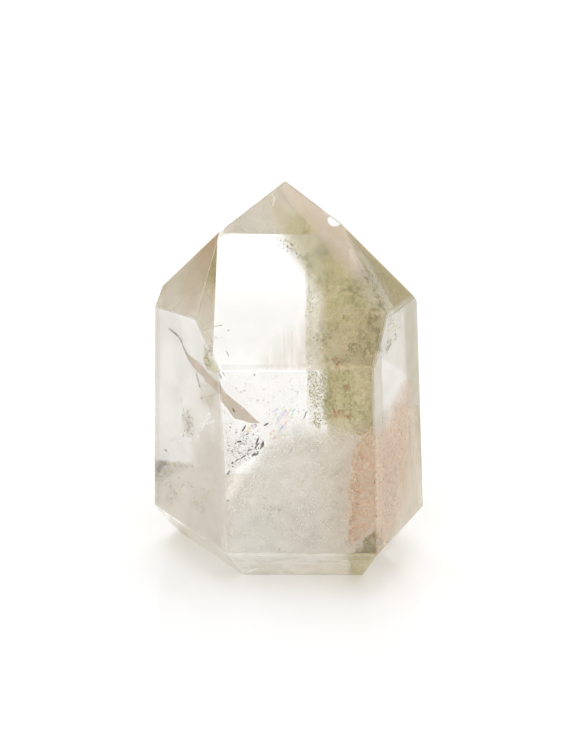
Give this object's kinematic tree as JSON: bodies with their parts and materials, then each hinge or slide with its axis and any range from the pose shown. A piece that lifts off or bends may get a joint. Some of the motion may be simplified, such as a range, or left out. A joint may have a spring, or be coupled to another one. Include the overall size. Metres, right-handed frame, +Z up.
{
  "type": "green phantom quartz",
  "caption": "Polished clear quartz point with a green chlorite phantom and a salmon iron veil inside, ground flat at the base so that it stands upright on a shelf or desk.",
  "frame": {"origin": "on the plane of the flat base, under the centre of the crystal's box", "axes": "+Z up along the crystal towards its tip, -Y towards the front prism face that the picture shows widest, +X to that face's right"},
  "size_m": [0.0486, 0.0434, 0.0684],
  "materials": {
    "quartz": "polished clear quartz, faintly smoky, with milky veils"
  },
  "bodies": {
    "root": {"quartz_point": "quartz"}
  },
  "joints": []
}
